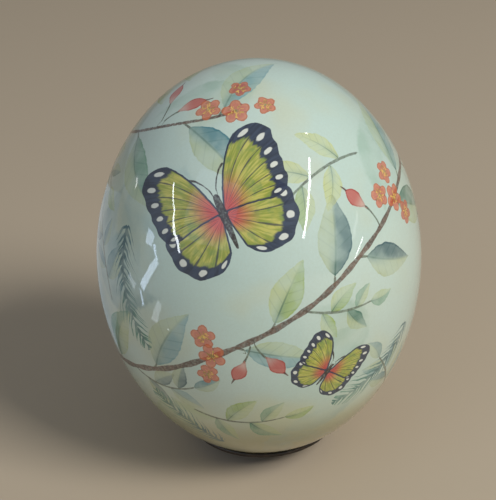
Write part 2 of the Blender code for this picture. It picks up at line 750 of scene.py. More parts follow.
HIND_WING = Wing(
    (50.0, -80.0), (0.36, 0.56, 0.72, 0.80, 0.83, 0.81, 0.70, 0.50), (0.030, 0.00), -7.0, 0.016,
    Coat.HIND_WING,
)
FORE_WING = Wing(
    (72.0, -3.0), (1.00, 1.14, 1.08, 0.98, 0.90, 0.85, 0.80, 0.66), (0.028, 0.05), 11.0, 0.009,
    Coat.FORE_WING,
)
TRUNK = ((0.25, 0.075), (0.16, 0.10), (0.04, 0.105), (-0.10, 0.08), (-0.26, 0.065), (-0.40, 0.035))
FEELER = ((0.012, 0.22), (0.045, 0.36), (0.10, 0.46), (0.165, 0.54), (0.225, 0.58))
FEELER_WIDTHS = [0.4, 0.38, 0.38, 0.5, 1.0]  # mm, with a knob at the end


@dataclass(frozen=True)
class Butterfly:
    """A butterfly with spread wings, about its body's middle."""

    middle: Flat
    size: float
    heading: float
    search: float = 1.25  # how far from its root a wing's points may lie

    def flat(self, x: float, y: float) -> Flat:
        """Gives a point of the sheet from the butterfly's own sideways and forward lengths."""
        t = math.radians(self.heading)
        px = self.middle[0] + (x * math.cos(t) - y * math.sin(t)) * self.size
        return px, self.middle[1] + (x * math.sin(t) + y * math.cos(t)) * self.size

    def paint(self, chart: Chart, dice: random.Random) -> None:
        """Lays hind wings, fore wings, body and feelers, in that order.

        Args:
            chart: The sheet that the butterfly is placed on.
            dice: The source of small differences.
        """
        for wing in (HIND_WING, FORE_WING):
            for side in (-1.0, 1.0):
                self.paint_wing(chart, wing, side, dice.random())
        dark = Pigment.DARK_BARK.ink(0.97)
        trunk = [self.flat(0.0, y) for y, _ in TRUNK]
        chart.pen(Coat.DETAIL, trunk, [width * self.size for _, width in TRUNK], dark)
        for side in (-1.0, 1.0):
            feeler = [self.flat(x * side, y) for x, y in FEELER]
            chart.pen(Coat.STALK, feeler, FEELER_WIDTHS, dark, side)

    def paint_wing(self, chart: Chart, wing: Wing, side: float, tone: float) -> None:
        """Lays one wing in coordinates about its root.

        Args:
            chart: The sheet that the butterfly is placed on.
            wing: The wing's outline.
            side: 1 for the right wing and -1 for the left.
            tone: A number from 0 to 1 that sets the wing's streaks.
        """
        canvas = chart.canvas
        foot = chart.spot(*self.flat(wing.root[0] * side, wing.root[1]))
        front = chart.spot(*self.flat(wing.root[0] * side, wing.root[1] + 0.2))
        _, forward, left, _ = canvas.local(foot, front)
        which = canvas.near(foot, self.size * self.search + REACH)
        here = canvas.points[which] - foot
        away, ahead = -(here @ left) * side / self.size, here @ forward / self.size
        edge, along, share = wing.edge(away, ahead, self.size)
        form = np.stack([edge, along, share, np.full(len(which), tone)], axis=1)
        canvas.merge(wing.coat, which, form, Pigment.OLIVE.ink(0.96))


@dataclass(frozen=True)
class Spray:
    """A side twig with small leaves on both sides and one at its end."""

    heading: float
    length: float
    curl: float
    leaves: int
    leaf_length: float
    pigments: tuple[Pigment, ...]
    strength: float = 0.85
    steps: int = 8  # pieces of the twig

    def paint(self, chart: Chart, dice: random.Random) -> None:
        """Lays the twig and its leaves.

        Args:
            chart: The sheet whose centre the spray grows from.
            dice: The source of small differences.
        """
        points = trail((0.0, 0.0), self.heading, self.length, self.curl, self.steps)
        chart.pen(Coat.STALK, points, [0.8, 1.05, 0.9, 0.6], Pigment.STALK.ink(0.85))
        for number in range(self.leaves):
            share = (number + 1.0) / self.leaves
            turn = self.heading + self.curl * share
            side = 1.0 if number % 2 else -1.0
            turn += 0.0 if number == self.leaves - 1 else side * dice.uniform(38.0, 56.0)
            size = self.leaf_length * (1.12 - 0.3 * share) * dice.uniform(0.9, 1.1)
            width, bend = size * dice.uniform(0.36, 0.46), side * dice.uniform(0.02, 0.09)
            pigment, strength = dice.choice(self.pigments), self.strength * dice.uniform(0.85, 1.1)
            base = points[round(share * self.steps)]
            leaf = Leaf(base, turn, size, width, bend, pigment, strength, dice.random())
            leaf.paint(chart, LEAF_COATS)


@dataclass(frozen=True)
class NeedleSprig:
    """A feathery sprig: a stalk whose fine needles sweep forward on both sides."""

    heading: float
    length: float
    curl: float
    reach: float = 9.5
    steps: int = 12  # pieces of the stalk

    def paint(self, chart: Chart, dice: random.Random) -> None:
        """Lays the patch in which the finish draws the stalk and its needles.

        Args:
            chart: The sheet whose centre the sprig grows from.
            dice: The source of small differences.
        """
        canvas = chart.canvas
        points = trail((0.0, 0.0), self.heading, self.length, self.curl, self.steps)
        track = canvas.follow([chart.spot(*point) for point in points], self.reach + REACH)
        run = track.run + track.past
        share = run / track.length
        widening, narrowing = share * 4.0 + 0.2, (1.16 - share) * 2.2
        envelope = self.reach * np.clip(np.minimum(widening, narrowing), 0.0, 1.0)
        edge = envelope - track.gap
        edge[share < -0.02] = FAR_OUTSIDE
        form = np.stack([edge, run, track.side, np.full(len(run), track.length)], axis=1)
        canvas.merge(Coat.NEEDLE, track.which, form, Pigment.NEEDLE.ink(dice.uniform(0.88, 0.98)))


@dataclass(frozen=True)
class BudPair:
    """Two tube-shaped buds on a forked stalk."""

    heading: float
    stalk: float
    length: float
    fork: float = 12.0  # degrees from the middle at which each stalk starts
    bow: float = 24.0  # degrees that a stalk turns outwards
    splay: float = 34.0  # degrees from the middle at which each bud hangs
    tuck: float = 1.6  # mm of the stalk's end that the bud covers
    tip: Flat = (0.96, 1.14)  # the dark point, as shares of the bud's length

    def paint(self, chart: Chart, dice: random.Random) -> None:
        """Lays each bud, and its stalk and the dark point at its end where the bud found room.

        Args:
            chart: The sheet whose centre the stalk grows from.
            dice: The source of small differences.
        """
        for side in (-1.0, 1.0):
            stalk = self.stalk * dice.uniform(0.85, 1.15)
            points = trail((0.0, 0.0), self.heading + side * self.fork, stalk, side * self.bow, 5)
            heading = self.heading + side * self.splay
            length = self.length * dice.uniform(0.9, 1.1)
            turn = math.radians(heading)
            way = (math.cos(turn), math.sin(turn))
            foot = (points[-1][0] - way[0] * self.tuck, points[-1][1] - way[1] * self.tuck)
            width, red = length * 0.44, Pigment.CORAL
            tube = Leaf(foot, heading, length, width, 0.03, red, 0.96, BUD_TONE, 0.60)
            if not tube.paint(chart, PETAL_COATS):
                continue
            chart.pen(Coat.STALK, points, [0.7, 0.6, 0.9], Pigment.STALK.ink(0.95), side)
            run = (way[0] * length, way[1] * length)
            ends = [(foot[0] + run[0] * k, foot[1] + run[1] * k) for k in self.tip]
            chart.pen(Coat.DETAIL, ends, [0.9, 0.3], Pigment.BUD_TIP.ink(0.9))


@dataclass(frozen=True)
class Garland:
    """A bough that winds round the egg, with leaves, sprays and buds along it."""

    keys: tuple[Flat, ...]
    thickness: float
    spacing: float
    seed: int
    steps: int = 14  # pieces between two keys
    taper: float = 0.6  # share of its thickness that the bough loses
    piece: int = 4  # steps that are painted as one stroke
    stalk: float = 3.5  # mm between the bough and a leaf

    def paint(self, canvas: Canvas) -> None:
        """Lays the bough and all that grows on it."""
        dice = random.Random(self.seed)
        angles = smooth_path(list(self.keys), self.steps)
        spots = [Chart(canvas, *pair).spot(0.0, 0.0) for pair in angles]
        count = len(spots)
        widths = []
        for i in range(count):
            swell = 1.0 + 0.2 * math.sin(i * 1.3)
            width = self.thickness * (1.0 - self.taper * i / count) * swell
            widths.append(max(width, THINNEST_BOUGH))
        for start in range(0, count - 1, self.piece):
            piece = slice(start, min(start + self.piece + 1, count))
            canvas.brush(Coat.BOUGH, spots[piece], widths[piece], Pigment.BARK.ink(0.93))
        walked, placed = 0.0, 0
        for i in range(1, count - 1):
            walked += float(np.linalg.norm(spots[i] - spots[i - 1]))
            if walked < self.spacing:
                continue
            walked = 0.0
            chart = Chart(canvas, *angles[i])
            right, up, _ = chart.axes()
            step = spots[i + 1] - spots[i - 1]
            self.grow(chart, math.degrees(math.atan2(step @ up, step @ right)), placed, dice)
            placed += 1

    def grow(self, chart: Chart, heading: float, number: int, dice: random.Random) -> None:
        """Lays what grows from one place of the bough.

        Args:
            chart: A sheet centred on the place.
            heading: The bough's direction there, in degrees.
            number: Which place it is, from the start.
            dice: The source of small differences.
        """
        side = 1.0 if number % 2 else -1.0
        pigments = BLUES if number % 7 in (1, 2, 5) else GREENS
        if number % 6 == 2:
            turn = heading + side * dice.uniform(40.0, 58.0)
            bow = -side * dice.uniform(20.0, 45.0)
            length, leaf = dice.uniform(28.0, 36.0), dice.uniform(15.0, 19.0)
            Spray(turn, length, bow, 5, leaf, pigments).paint(chart, dice)
            return
        if number % 6 == 5:
            stalk, bud = dice.uniform(8.0, 11.0), dice.uniform(11.0, 13.0)
            BudPair(heading + side * 64.0, stalk, bud).paint(chart, dice)
            return
        away = heading + side * dice.uniform(34.0, 60.0)
        points = trail((0.0, 0.0), away, self.stalk, 0.0, 2)
        length = dice.uniform(27.0, 36.0)
        width, bend = length * dice.uniform(0.36, 0.45), side * dice.uniform(-0.02, 0.1)
        pigment, strength = dice.choice(pigments), dice.uniform(0.8, 1.0)
        leaf = Leaf(points[-1], away, length, width, bend, pigment, strength, dice.random())
        if leaf.paint(chart, LEAF_COATS):
            chart.pen(Coat.STALK, points, [1.0, 0.8], Pigment.STALK.ink(0.9))


@dataclass(frozen=True)
class WashFinish:
    """How a watercolour mark of one layer looks; lengths in millimetres."""

    softness: float
    wobble: float
    rim_width: float
    body: float
    rim: float


SHADE_WASH = WashFinish(2.6, 1.5, 2.0, 0.42, 0.06)
LEAF_WASH = WashFinish(0.30, 0.55, 1.0, 0.80, 0.22)
PETAL_WASH = WashFinish(0.22, 0.40, 0.8, 0.84, 0.16)
LINE_WASH = WashFinish(0.22, 0.18, 0.5, 0.92, 0.05)
WING_WASH = WashFinish(0.18, 0.25, 0.6, 0.96, 0.04)


@dataclass(frozen=True)
class Needles:
    """One family of needles of a sprig; lengths in millimetres."""

    spacing: float
    lean: float
    bow: float
    thickness: float
    reach: float
    seed: float


LONG_NEEDLES = Needles(3.1, 1.05, 0.05, 1.15, 9.0, 3.0)
SHORT_NEEDLES = Needles(4.3, 0.55, 0.10, 0.95, 6.6, 8.0)


@dataclass(frozen=True)
class Mark:
    """The sockets that carry one layer's coordinates and ink."""

    edge: Socket
    along: Socket
    across: Socket
    tone: Socket
    ink: Socket
    strength: Socket


@dataclass
class Painting:
    """The nodes that lay each coat of paint over the ground; sizes in millimetres."""

    tree: bpy.types.NodeTree
    place: Socket  # millimetres from the origin

    def read(self, coat: Coat) -> Mark:
        """Reads a layer's attributes.

        Args:
            coat: The layer.

        Returns:
            Its coordinates and ink.
        """
        form = add(self.tree, Kind.READ, out="Color", attribute_name=coat.value + "_form")
        ink = add(self.tree, Kind.READ, out="Color", attribute_name=coat.value + "_ink")
        split = add(self.tree, Kind.CHANNELS, form).node
        return Mark(*split.outputs, form.node.outputs["Alpha"], ink, ink.node.outputs["Alpha"])

    def cover(self, edge: Socket, wash: WashFinish) -> tuple[Socket, Socket, Socket]:
        """Turns an edge distance to a mark's cover.

        Args:
            edge: Millimetres inside the mark.
            wash: The layer's finish.

        Returns:
            The wobbled edge distance, the cover, and the dark rim of dried paint.
        """
        t = self.tree
        shake = add(t, Kind.LESS, add(t, Kind.NOISE, self.place, 1.0 / 2.2), 0.5)
        shaken = add(t, Kind.TIMES_PLUS, shake, wash.wobble * 2.0, edge)
        cover = add(t, Kind.EASE, shaken, -wash.softness / 2.0, wash.softness / 2.0)
        return shaken, cover, add(t, Kind.EASE, shaken, wash.rim_width, 0.1)

    def shade(self, coat: Coat, below: Socket) -> Socket:
        """Paints the soft, pale leaves of the background.

        Args:
            coat: The layer.
            below: The colour under it.

        Returns:
            The colour over it.
        """
        t = self.tree
        mark = self.read(coat)
        _, cover, rim = self.cover(mark.edge, SHADE_WASH)
        half = add(t, Kind.EASE, mark.across, -0.3, 0.3, 0.5, 1.0)
        pool = add(t, Kind.EASE, add(t, Kind.NOISE, self.place, 1.0 / 9.0), 0.35, 0.65, 0.45, 1.0)
        body = add(t, Kind.TIMES_PLUS, rim, SHADE_WASH.rim, SHADE_WASH.body)
        share = add(t, Kind.TIMES, add(t, Kind.TIMES, cover, half), add(t, Kind.TIMES, pool, body))
        share = add(t, Kind.TIMES, share, mark.strength, use_clamp=True)
        return add(t, Kind.MIX, share, below, mark.ink)

    def leaf(self, coat: Coat, below: Socket) -> Socket:
        """Paints a layer of leaves: two-toned halves, a dark midrib, fine veins and a dried rim.

        Args:
            coat: The layer.
            below: The colour under it.

        Returns:
            The colour over it.
        """
        t = self.tree
        mark = self.read(coat)
        _, cover, rim = self.cover(mark.edge, LEAF_WASH)
        wide = add(t, Kind.SIZE, mark.across)
        rib = add(t, Kind.EASE, wide, 0.085, 0.02, 0.0, 0.8)
        rib = add(t, Kind.TIMES, rib, add(t, Kind.EASE, mark.along, 0.05, 0.97, 1.0, 0.1))
        slant = add(t, Kind.TIMES_PLUS, wide, -0.17, mark.along)
        wave = add(t, Kind.FOLD, add(t, Kind.TIMES, slant, 6.5), 0.5)
        lines = add(t, Kind.MOST, rib, add(t, Kind.EASE, wave, 0.11, 0.0, 0.0, 0.26))
        light = add(t, Kind.MIX, 0.72, mark.ink, Pigment.PALE_SPRING.ink())
        colour = add(t, Kind.MIX, add(t, Kind.EASE, mark.across, -0.14, 0.12), mark.ink, light)
        deep = add(t, Kind.MIX, 0.5, mark.ink, Pigment.DEEP_SAGE.ink())
        core = add(t, Kind.EASE, mark.along, 0.66, 0.0, 0.0, 0.9)
        core = add(t, Kind.TIMES, add(t, Kind.EASE, wide, 0.55, 0.05), core)
        colour = add(t, Kind.MIX, core, colour, deep)
        colour = add(t, Kind.MIX, lines, colour, Pigment.VEIN.ink())
        body = add(t, Kind.TIMES_PLUS, rim, LEAF_WASH.rim, LEAF_WASH.body)
        body = add(t, Kind.TIMES_PLUS, lines, 0.3, body)
        bloom = add(t, Kind.EASE, add(t, Kind.NOISE, self.place, 1.0 / 7.0), 0.32, 0.68, 0.66, 1.12)
        thin = add(t, Kind.EASE, mark.across, -0.2, 0.3, 1.0, 0.74)
        fade = add(t, Kind.EASE, mark.along, 0.45, 1.0, 1.0, 0.7)
        body = add(t, Kind.TIMES, add(t, Kind.TIMES, body, bloom), add(t, Kind.TIMES, thin, fade))
        share = add(t, Kind.TIMES, add(t, Kind.TIMES, cover, mark.strength), body, use_clamp=True)
        return add(t, Kind.MIX, share, below, colour)

    def needle_family(self, mark: Mark, needles: Needles) -> Socket:
        """Finds how far a point lies inside the nearest needle of one family.

        Args:
            mark: The sprig's coordinates: millimetres along its stalk and across it.
            needles: The family.

        Returns:
            Millimetres inside the needle.
        """
        t = self.tree
        wide = add(t, Kind.SIZE, mark.across)
        sweep = add(t, Kind.TIMES_PLUS, wide, needles.bow, needles.lean)
        drift = add(t, Kind.NOISE, self.place, 1.0 / 5.0, 1.0)
        start = add(t, Kind.TIMES_PLUS, drift, 3.2, mark.along)
        start = add(t, Kind.LESS, start, add(t, Kind.TIMES, wide, sweep))
        side = add(t, Kind.TIMES, add(t, Kind.SIGN, mark.across), 0.25)
        phase = add(t, Kind.PLUS, add(t, Kind.OVER, start, needles.spacing), side)
        number = add(t, Kind.ROUND, phase)
        chance = add(t, Kind.CHANCE, add(t, Kind.JOIN, number, side, needles.seed))
        shift = add(t, Kind.LESS, chance, 0.5)
        off = add(t, Kind.TIMES_PLUS, shift, 0.34, add(t, Kind.LESS, phase, number))
        off = add(t, Kind.TIMES, add(t, Kind.SIZE, off), needles.spacing * 0.62)
        reach = add(t, Kind.TIMES_PLUS, chance, needles.reach * 0.5, needles.reach * 0.5)
        taper = add(t, Kind.LESS, 1.0, add(t, Kind.OVER, wide, reach))
        return add(t, Kind.LESS, add(t, Kind.TIMES, taper, needles.thickness / 2.0), off)

    def sprig(self, coat: Coat, below: Socket) -> Socket:
        """Paints the feathery sprigs: two families of needles and their stalk.

        Args:
            coat: The layer.
            below: The colour under it.

        Returns:
            The colour over it.
        """
        t = self.tree
        mark = self.read(coat)
        left = add(t, Kind.OVER, mark.along, mark.tone)
        stalk = add(t, Kind.EASE, left, 0.0, 1.05, 0.66, 0.14)
        stalk = add(t, Kind.LESS, stalk, add(t, Kind.SIZE, mark.across))
        needles = [self.needle_family(mark, family) for family in (LONG_NEEDLES, SHORT_NEEDLES)]
        needles = add(t, Kind.MOST, add(t, Kind.MOST, *needles), stalk)
        _, cover, _ = self.cover(add(t, Kind.LEAST, needles, mark.edge), LINE_WASH)
        pool = add(t, Kind.EASE, add(t, Kind.NOISE, self.place, 1.0 / 4.0), 0.36, 0.64, 0.62, 1.0)
        hue = add(t, Kind.EASE, left, 0.2, 1.0)
        colour = add(t, Kind.MIX, hue, mark.ink, Pigment.SEA_GREEN.ink())
        core = add(t, Kind.EASE, stalk, -2.2, 0.1, 0.0, 0.6)
        colour = add(t, Kind.MIX, core, colour, Pigment.DEEP_TEAL.ink())
        share = add(t, Kind.TIMES, add(t, Kind.TIMES, cover, mark.strength), pool, use_clamp=True)
        return add(t, Kind.MIX, share, below, colour)

    def petal(self, coat: Coat, below: Socket) -> Socket:
        """Paints a layer of petals and buds: pale throats, streaks towards the tip, dark seams.

        Args:
            coat: The layer.
            below: The colour under it.

        Returns:
            The colour over it.
        """
        t = self.tree
        mark = self.read(coat)
        _, cover, rim = self.cover(mark.edge, PETAL_WASH)
        bud = add(t, Kind.ABOVE, mark.tone, 0.5)
        flower = add(t, Kind.LESS, 1.0, bud)
        streak = add(t, Kind.JOIN, mark.across, mark.along, mark.tone)
        streak = add(t, Kind.SCALE, streak, (9.0, 1.6, 5.0))
        streak = add(t, Kind.EASE, add(t, Kind.NOISE, streak, 1.0), 0.42, 0.66, 0.0, 0.6)
        colour = add(t, Kind.MIX, streak, mark.ink, Pigment.VERMILION.ink())
        glow = add(t, Kind.TIMES, add(t, Kind.EASE, mark.along, 0.6, 0.98, 0.0, 0.55), flower)
        colour = add(t, Kind.MIX, glow, colour, Pigment.APRICOT.ink())
        throat = add(t, Kind.TIMES, add(t, Kind.EASE, mark.along, 0.62, 0.1, 0.0, 0.8), bud)
        colour = add(t, Kind.MIX, throat, colour, Pigment.ROSE.ink())
        seam = add(t, Kind.EASE, add(t, Kind.SIZE, mark.across), 0.7, 1.0, 0.0, 0.8)
        seam = add(t, Kind.TIMES, seam, flower)
        colour = add(t, Kind.MIX, seam, colour, Pigment.PETAL_SEAM.ink())
        eye = add(t, Kind.TIMES, add(t, Kind.EASE, mark.along, 0.26, 0.12, 0.0, 0.9), flower)
        colour = add(t, Kind.MIX, eye, colour, Pigment.FLOWER_EYE.ink())
        colour = add(t, Kind.MIX, add(t, Kind.TIMES, rim, 0.4), colour, Pigment.PETAL_RIM.ink())
        body = add(t, Kind.TIMES_PLUS, rim, PETAL_WASH.rim, PETAL_WASH.body)
        body = add(t, Kind.TIMES, body, add(t, Kind.EASE, throat, 0.0, 0.8, 1.0, 0.72))
        share = add(t, Kind.TIMES, add(t, Kind.TIMES, cover, mark.strength), body, use_clamp=True)
        return add(t, Kind.MIX, share, below, colour)

    def line(self, coat: Coat, below: Socket) -> Socket:
        """Paints a layer of boughs, stalks or fine strokes, mottled with darker paint.

        Args:
            coat: The layer.
            below: The colour under it.

        Returns:
            The colour over it.
        """
        t = self.tree
        mark = self.read(coat)
        edge = mark.edge
        if coat in THIN_COATS:
            inside = add(t, Kind.LESS, mark.across, add(t, Kind.SIZE, edge))
            edge = add(t, Kind.LEAST, inside, mark.tone)
        _, cover, _ = self.cover(edge, LINE_WASH)
        mottle = add(t, Kind.EASE, add(t, Kind.NOISE, self.place, 1.0 / 1.6), 0.42, 0.62, 0.0, 0.6)
        colour = add(t, Kind.MIX, mottle, mark.ink, Pigment.DARK_BARK.ink())
        dry = add(t, Kind.EASE, add(t, Kind.NOISE, self.place, 1.0 / 0.9), 0.3, 0.6, 0.78, 1.0)
        share = add(t, Kind.TIMES, add(t, Kind.TIMES, cover, mark.strength), dry, use_clamp=True)
        return add(t, Kind.MIX, share, below, colour)

    def wing(self, coat: Coat, below: Socket) -> Socket:
        """Paints a layer of wings: a veined field, a dark band with pale dots, a coral flush.

        Args:
            coat: The layer.
            below: The colour under it.

        Returns:
            The colour over it.
        """
        t = self.tree
        mark = self.read(coat)
        shaken, cover, _ = self.cover(mark.edge, WING_WASH)
        streaks = add(t, Kind.JOIN, mark.across, mark.along, mark.tone)
        streaks = add(t, Kind.SCALE, streaks, (34.0, 3.4, 4.0))
        scales = add(t, Kind.EASE, add(t, Kind.NOISE, streaks, 1.0, 4.0), 0.36, 0.64)
        colour = add(t, Kind.MIX, scales, mark.ink, Pigment.STRAW.ink())
        moss = add(t, Kind.EASE, add(t, Kind.NOISE, self.place, 1.0 / 3.2), 0.45, 0.7, 0.0, 0.55)
        colour = add(t, Kind.MIX, moss, colour, Pigment.MOSS.ink())
        blush = add(t, Kind.MIX, scales, Pigment.BLUSH.ink(), Pigment.PALE_BLUSH.ink())
        colour = add(t, Kind.MIX, add(t, Kind.EASE, mark.along, 0.52, 0.12), colour, blush)
        wave = add(t, Kind.FOLD, add(t, Kind.TIMES, mark.across, VEINS), 0.5)
        bent = add(t, Kind.LESS, add(t, Kind.NOISE, self.place, 1.0 / 5.0), 0.5)
        bent = add(t, Kind.TIMES_PLUS, bent, 0.12, wave)
        veins = add(t, Kind.EASE, bent, 0.075, 0.02, 0.0, 0.8)
        colour = add(t, Kind.MIX, veins, colour, Pigment.NAVY.ink())
        scallop = add(t, Kind.TIMES_PLUS, wave, -0.13, 0.80)
        ragged = add(t, Kind.TIMES_PLUS, add(t, Kind.LESS, scales, 0.5), 0.035, mark.along)
        band = add(t, Kind.EASE, add(t, Kind.LESS, ragged, scallop), 0.0, 0.05)
        band = add(t, Kind.MOST, band, add(t, Kind.EASE, shaken, 0.85, 0.4))
        navy = add(t, Kind.MIX, scales, Pigment.NAVY.ink(), Pigment.SLATE.ink())
        colour = add(t, Kind.MIX, band, colour, navy)
        sideways = add(t, Kind.TIMES, add(t, Kind.LESS, wave, 0.5), 0.30)
        outwards = add(t, Kind.LESS, mark.along, 0.88)
        apart = add(t, Kind.LENGTH, add(t, Kind.JOIN, sideways, outwards))
        shake = add(t, Kind.LESS, add(t, Kind.NOISE, self.place, 1.0 / 2.4), 0.5)
        apart = add(t, Kind.TIMES_PLUS, shake, 0.035, apart)
        inside = add(t, Kind.EASE, shaken, 0.5, 0.9)
        dot = add(t, Kind.TIMES, add(t, Kind.EASE, apart, 0.060, 0.044), inside)
        colour = add(t, Kind.MIX, dot, colour, Pigment.CHALK.ink())
        share = add(t, Kind.TIMES, cover, mark.strength, use_clamp=True)
        return add(t, Kind.MIX, share, below, colour)

    def ground(self) -> Socket:
        """Paints the ground, a fibrous mint that warms to cream in patches and at the lower end.

        A deeper olive band near the foot is painted shade: it stands in for the shade that a shell
        has above its stand.

        Returns:
            The ground's colour.
        """
        t = self.tree
        large = add(t, Kind.EASE, add(t, Kind.NOISE, self.place, 1.0 / 55.0, 1.0), 0.36, 0.64)
        colour = add(t, Kind.MIX, large, Pigment.MINT.ink(), Pigment.COOL_MINT.ink())
        warm = add(t, Kind.EASE, add(t, Kind.NOISE, self.place, 1.0 / 30.0), 0.46, 0.72, 0.0, 0.34)
        height = add(t, Kind.SPLIT, self.place, out="Z")
        low = add(t, Kind.EASE, height, 66.0, 6.0, 0.0, 0.9)
        warm = add(t, Kind.PLUS, warm, low, use_clamp=True)
        colour = add(t, Kind.MIX, warm, colour, Pigment.CREAM.ink())
        # painted shade: an olive band low on the shell, strongest about 28 mm up, just above the
        # stand
        painted_shade = add(t, Kind.EASE, height, 46.0, 28.0, 0.0, 0.6)
        painted_shade = add(t, Kind.TIMES, painted_shade, add(t, Kind.EASE, height, 12.0, 28.0, 0.3, 1.0))
        colour = add(t, Kind.MIX, painted_shade, colour, Pigment.SHADE_OLIVE.ink())
        fibre = add(t, Kind.NOISE, self.place, 1.0 / 0.8, 3.0)
        fibre = add(t, Kind.EASE, fibre, 0.3, 0.7, 0.0, 0.09)
        return add(t, Kind.MIX, fibre, colour, Pigment.FIBRE.ink())


@dataclass
class ShellBuilder:
    """Makes the visible shell and its painted, lacquered finish; lengths in millimetres."""

    cuts: int = 124  # along each edge of the cube that is rounded to the shell
    ripple: float = 0.05  # how far the lacquer rises and falls
    ripple_size: float = 9.0
    fine_ripple: float = 0.4  # share of the ripple and of its size
    egg: Egg = field(init=False)
    canvas: Canvas = field(init=False)

    def __post_init__(self) -> None:
        """Reads the shell's size from the frame."""
        low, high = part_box("egg")
        width, length = (high[0] - low[0]) / MM, (high[2] - low[2]) / MM
        self.egg = Egg(width, length, (high[2] + low[2]) / 2.0 / MM)

    def build(self) -> bpy.types.Object:
        """Makes the shell's mesh.

        Returns:
            The shell's object, at the origin.
        """
        bm = bmesh.new()
        bmesh.ops.create_cube(bm, size=2.0)
        bmesh.ops.subdivide_edges(bm, edges=bm.edges[:], cuts=self.cuts, use_grid_fill=True)
        shell = make_object("painted_shell", bm)
        mesh = shell.data
        cube = np.empty(len(mesh.vertices) * 3, np.float32)
        mesh.vertices.foreach_get("co", cube)
        cube = cube.reshape(-1, 3).astype(float)
        evened = np.tan(cube * (math.pi / 4.0))
        spots = self.egg.place(evened / np.linalg.norm(evened, axis=1, keepdims=True))
        fine_size = self.ripple_size * self.fine_ripple
        depth = np.array([
            noise.noise(Vector(spot) / self.ripple_size)
            + self.fine_ripple * noise.noise(Vector(spot) / fine_size)
            for spot in spots
        ])
        sunk = self.ripple * (depth - depth.max())
        placed = spots + self.egg.normal(spots) * sunk[:, None]
        placed[:, 2] += self.egg.centre_z
        mesh.vertices.foreach_set("co", (placed * MM).astype(np.float32).ravel())
        mesh.update()
        mesh.shade_smooth()
        self.canvas = Canvas(self.egg, spots)
        return shell

    def keep_paint(self, mesh: bpy.types.Mesh) -> None:
        """Writes every layer of paint to the mesh's attributes."""
        for coat in Coat:
            form, ink = self.canvas.form[coat], self.canvas.ink[coat]
            for kind, values in (("_form", form), ("_ink", ink)):
                made = mesh.attributes.new(coat.value + kind, "FLOAT_COLOR", "POINT")
                made.data.foreach_set("color", values.ravel())

    def finish(self) -> bpy.types.Material:
        """Makes the shell's material: watercolour on pale shell, sealed in clear lacquer.

        Real lacquer is a poured or brushed varnish of IOR 1.5. It gives the eye sharp, slightly
        wavy reflections over matt paint.

        Returns:
            The material.
        """
        material, shader, place = start_finish("watercolour under gloss lacquer")
        t = material.node_tree
        painting = Painting(t, place)
        colour = painting.shade(Coat.SHADE, painting.ground())
        for coat in LEAF_COATS:
            colour = painting.leaf(coat, colour)
        colour = painting.sprig(Coat.NEEDLE, colour)
        for coat in (Coat.STALK, Coat.BOUGH):
            colour = painting.line(coat, colour)
        for coat in PETAL_COATS:
            colour = painting.petal(coat, colour)
        for coat in (Coat.HIND_WING, Coat.FORE_WING):
            colour = painting.wing(coat, colour)
        colour = painting.line(Coat.DETAIL, colour)
        t.links.new(colour, shader.inputs["Base Color"])
        dull = add(t, Kind.RAMP, add(t, Kind.NOISE, place, 1.0 / 3.0), 0.3, 0.7, 0.42, 0.55)
        t.links.new(dull, shader.inputs["Roughness"])
        waves = add(t, Kind.NOISE, place, 1.0 / 1.6, 1.0)
        peel = add(t, Kind.BUMP, Strength=0.06, Distance=0.05 * MM, Height=waves)
        t.links.new(peel, shader.inputs["Coat Normal"])
        shader.inputs["Coat Weight"].default_value = 1.0
        shader.inputs["Coat Roughness"].default_value = 0.025
        shader.inputs["Coat IOR"].default_value = 1.5
        return material


